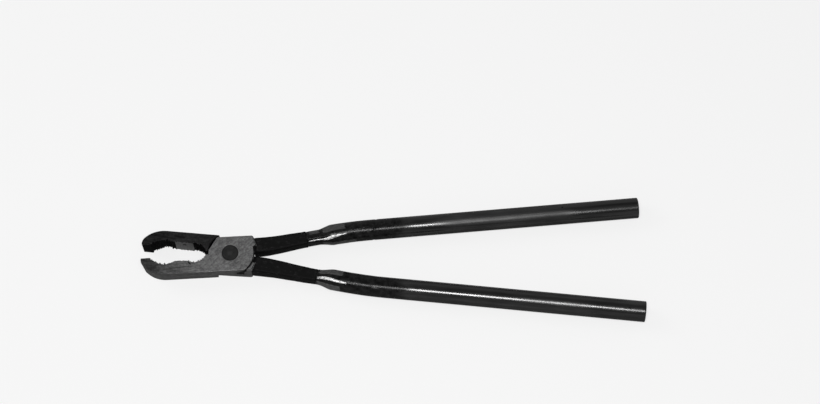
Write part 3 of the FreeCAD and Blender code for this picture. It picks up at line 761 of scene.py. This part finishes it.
def bowed(bearings, width, height, arc):
    """Radius of a section of four equal arcs through (width, 0) and (0, height)."""
    x = np.abs(np.cos(bearings))
    y = np.abs(np.sin(bearings))
    chord = math.hypot(width, height)
    reach = math.sqrt(max(arc * arc - chord * chord / 4, 0.0))
    centre_x = width / 2 - reach * height / chord
    centre_y = height / 2 - reach * width / chord
    along = x * centre_x + y * centre_y
    return along + np.sqrt(along ** 2 - centre_x ** 2 - centre_y ** 2 + arc * arc)


def pressed(reach, bearings, station, flats):
    """The section's reach, cut back where the pressing tool left its flats.

    A flat is (from, to, bearing in degrees, depth): it begins gently and stops with a step.
    """
    for first, last, bearing, depth in flats:
        strength = float(smooth(station, first, first + 4))
        strength *= float(1 - smooth(station, last, last + 0.5))
        if strength == 0.0:
            continue
        offset = np.cos(bearings - math.radians(bearing))
        middle = float(reach[np.argmax(offset)])
        limit = (middle - depth * strength) / np.maximum(offset, 0.2)
        reach = np.where(offset > 0.2, np.minimum(reach, limit), reach)
    return reach


def tube(node, body, handle, flats, fold, lip, material, seed):
    """The tube: swaged neck, flare, gentle bend, and an open end with a broken edge.

    fold is the station of the faint crease round it, or None.  lip is how deep the mouth's outer
    edge is dressed down, and over what length.
    """
    broken_edge, broken_over = 0.3, 0.5
    fold_depth, fold_width, fold_slant = 0.25, 0.7, 1.5
    sunk = 0.03  # keeps the lumps inside the CAD tube
    bearings = np.linspace(0, 2 * np.pi, ROUND, endpoint=False) + np.pi / 2
    outer = []
    inner = []
    for station in handle.stations():
        reach = pressed(handle.reach(station, bearings), bearings, station, flats)
        from_end = handle.length - station
        reach = reach - broken_edge * max(0.0, 1 - from_end / broken_over) ** 2
        reach = reach - lip[0] * max(0.0, 1 - station / lip[1]) ** 2
        if fold is not None:
            from_fold = station - fold - fold_slant * np.cos(bearings)
            reach = reach - fold_depth * np.exp(-((from_fold / fold_width) ** 2))
        outer.append(handle.ring(station, bearings, reach))
        bore = handle.reach(station, bearings, handle.wall)
        inner.append(handle.ring(station, bearings, bore))
    mesh = build_grid(node, outer + inner[::-1] + outer[:1], closed_ends=False)
    with opened(mesh) as work:
        bmesh.ops.remove_doubles(work, verts=work.verts, dist=0.0005 * MM)
        bmesh.ops.recalc_face_normals(work, faces=work.faces)
    points = points_of(mesh)
    past_mouth = turned(points, -handle.heading)[:, 0] - handle.mouth
    forged = 1 - smooth(past_mouth, 40, 70)
    lift = (0.06 * relief(points, 7.0, seed) + 0.03 * relief(points, 1.8, seed + 1)) * forged
    lift += 0.02 * relief(points, 26.0, seed + 2)
    set_points(mesh, points + normals_of(mesh) * (lift - sunk)[:, None])
    make_object(node + "_steel", mesh, body, node, material)


def weld(node, body, handle, length, widths, leans, material, seed):
    """The dressed bead along the neck's ridge.

    widths, and leans in degrees from upright towards -Y, are at even steps from the mouth.
    """
    first, pitch, sides = 1.2, 0.35, 20
    buried = 0.35  # how far the bead's middle lies under the ridge
    wandering, rippling = 0.18, 0.22
    around = np.linspace(0, 2 * np.pi, sides, endpoint=False)
    rings = []
    for station in np.arange(first, length, pitch):
        centre, heading = handle.place(station)
        left = np.array((-math.sin(heading), math.cos(heading), 0.0))
        lean = math.radians(np.interp(station, np.linspace(0, length, len(leans)), leans))
        outward = np.array((0.0, 0.0, math.cos(lean))) - left * math.sin(lean)
        across = left * math.cos(lean) + np.array((0.0, 0.0, math.sin(lean)))
        crest = float(handle.reach(station, np.array([np.pi / 2 + lean]))[0])
        wander = wandering * noise.noise(Vector((station / 3.0, seed, 0)))
        ripple = 1 + rippling * noise.noise(Vector((station / 1.2, seed, 4)))
        width = float(np.interp(station, np.linspace(0, length, len(widths)), widths)) * ripple
        crown = 0.14 + 0.12 * width
        middle = centre + outward * (crest - buried) + across * wander
        rings.append(
            middle
            + np.outer(width / 2 * np.cos(around), across)
            + np.outer((buried + crown) * np.sin(around), outward)
        )
    mesh = build_grid(node, rings)
    set_points(mesh, points_of(mesh))
    make_object(node + "_bead", mesh, body, node, material)


# ---------------------------------------------------------------- assembly

front_hump = (43.3, 32.4)
rear_hump = (43.4, 29.5)
front_steel = forging_finish("front_forged_steel", FRONT_OPENING, 1, (116, 92, 66, 99), front_hump)
rear_steel = forging_finish("rear_forged_steel", REAR_OPENING, -1, (44, 44, 38, 99), rear_hump)
forged_half("front_jaw_half", "front_half", FRONT_OPENING, front_hump,
            front_steel, seed=3)
forged_half("rear_jaw_half", "rear_half", REAR_OPENING, rear_hump,
            rear_steel, seed=7)
rivet("pivot_rivet", "rear_half")

upper = Handle(side=1, opening=FRONT_OPENING, mouth=59.0, angle=7.14, neck=9.0,
               bend_start=16.0, bend_angle=6.0, straight=207.3)
lower = Handle(side=-1, opening=REAR_OPENING, mouth=67.8, angle=5.4, neck=1.5,
               bend_start=21.0, bend_angle=5.5, straight=199.2)
upper_paint = tube_finish(
    "upper_tube_finish", upper,
    scraped=((13.5, 30.0, -80, -4), (3.0, 9.5, -52, -14), (12.0, 37.0, 74, 128)),
    scraped_grey=76, spatter=(36.0, 46.0, 0.35), specks=((254.9, 39.6),),
    dull=(172.0, 252.0, 0.47))
lower_paint = tube_finish(
    "lower_tube_finish", lower,
    scraped=((2.0, 19.5, -80, -14), (1.5, 19.0, 54, 128)),
    scraped_grey=90, spatter=(25.0, 46.0, 0.6), specks=((304.0, -42.7),),
    dull=(232.0, 262.0, 0.30))
tube("upper_handle_tube", "front_half", upper,
     flats=((13.0, 30.0, 55.0, 0.5), (12.0, 37.0, 187.0, 0.3)),
     fold=53.0, lip=(0.25, 1.5), material=upper_paint, seed=11)
tube("lower_handle_tube", "rear_half", lower,
     flats=((1.5, 19.5, 50.0, 0.45), (1.0, 19.5, 172.0, 0.5)),
     fold=None, lip=(0.35, 0.8), material=lower_paint, seed=15)
bead_steel_and_highlight = weld_and_highlight_finish("weld_steel_and_highlight")
weld("upper_seam_weld", "front_half", upper, length=31.0,
     widths=(0.8, 1.0, 1.1, 1.4, 2.3, 2.8, 2.3, 1.3, 0.7),
     leans=(38, 37, 37, 40, 39, 33, 29, 27, 25), material=bead_steel_and_highlight, seed=1)
weld("lower_seam_weld", "rear_half", lower, length=24.0,
     widths=(1.5, 2.1, 2.4, 2.4, 2.2, 1.9, 0.9),
     leans=(26, 20, 17, 19, 22, 24, 25), material=bead_steel_and_highlight, seed=2)


# ---------------------------------------------------------------- stage, light and camera
# Lengths from here on are in metres.

def floor():
    """A wide, plain, pale floor just under the tongs, which their steel doesn't mirror."""
    half, gap = 30.0, 0.0002
    tint, glow = 0.22, 0.72
    mesh = bpy.data.meshes.new("floor")
    mesh.from_pydata([(-half, -half, 0), (half, -half, 0), (half, half, 0), (-half, half, 0)],
                     [], [(0, 1, 2, 3)])
    plane = bpy.data.objects.new("floor", mesh)
    bpy.context.scene.collection.objects.link(plane)
    plane.location.z = -gap
    material = bpy.data.materials.new("pale_floor")
    material.use_nodes = True
    shader = material.node_tree.nodes["Principled BSDF"]
    shader.inputs["Base Color"].default_value = (tint, tint, tint, 1)
    shader.inputs["Roughness"].default_value = 1.0
    shader.inputs["Specular IOR Level"].default_value = 0.0
    shader.inputs["Emission Color"].default_value = (1, 1, 1, 1)
    shader.inputs["Emission Strength"].default_value = glow
    mesh.materials.append(material)
    plane.visible_glossy = False


def area_light(name, location, target, size, power):
    """A rectangular lamp, in metres and watts, aimed at target."""
    lamp = bpy.data.lights.new(name, "AREA")
    lamp.shape = "RECTANGLE"
    lamp.size, lamp.size_y = size
    lamp.energy = power
    holder = bpy.data.objects.new(name, lamp)
    holder.location = location
    aim = Vector(target) - Vector(location)
    holder.rotation_euler = aim.to_track_quat("-Z", "Y").to_euler()
    bpy.context.scene.collection.objects.link(holder)


def world_light(dark, light):
    """A soft room: light walls all round, darker overhead and underneath."""
    wall_end, ceiling = 0.35, 0.85  # as sines of the angle above or below the horizon
    world = bpy.data.worlds.new("soft_room")
    bpy.context.scene.world = world
    world.use_nodes = True
    tree = world.node_tree
    place = tree.nodes.new("ShaderNodeTexCoord")
    parts = tree.nodes.new("ShaderNodeSeparateXYZ")
    height = tree.nodes.new("ShaderNodeMath")
    height.operation = "ABSOLUTE"
    level = tree.nodes.new("ShaderNodeMapRange")
    level.interpolation_type = "SMOOTHSTEP"
    level.inputs["From Min"].default_value = wall_end
    level.inputs["From Max"].default_value = ceiling
    level.inputs["To Min"].default_value = light
    level.inputs["To Max"].default_value = dark
    tree.links.new(place.outputs["Generated"], parts.inputs[0])
    tree.links.new(parts.outputs["Z"], height.inputs[0])
    tree.links.new(height.outputs[0], level.inputs["Value"])
    tree.links.new(level.outputs["Result"], tree.nodes["Background"].inputs["Color"])


def camera(location, tilt, turn, lens):
    """The camera, tilted from straight down and turned about the vertical; lens is in mm."""
    data = bpy.data.cameras.new("camera")
    data.sensor_fit = "HORIZONTAL"
    data.sensor_width = 36.0
    data.lens = lens
    holder = bpy.data.objects.new("camera", data)
    holder.location = location
    holder.rotation_euler = Euler((math.radians(tilt), 0, math.radians(turn)))
    bpy.context.scene.collection.objects.link(holder)
    bpy.context.scene.camera = holder


floor()
area_light("key", location=(0.13, -0.45, 1.5), target=(0.13, 0, 0), size=(0.5, 0.22), power=14.0)
area_light("left", location=(-1.2, 0.6, 1.0), target=(0.1, 0, 0), size=(0.8, 0.8), power=6.0)
world_light(dark=0.17, light=0.42)
camera(location=(0.14135, -0.52179, 1.37279), tilt=22.6, turn=0.4, lens=83.4)
bpy.context.scene.view_settings.view_transform = "Standard"
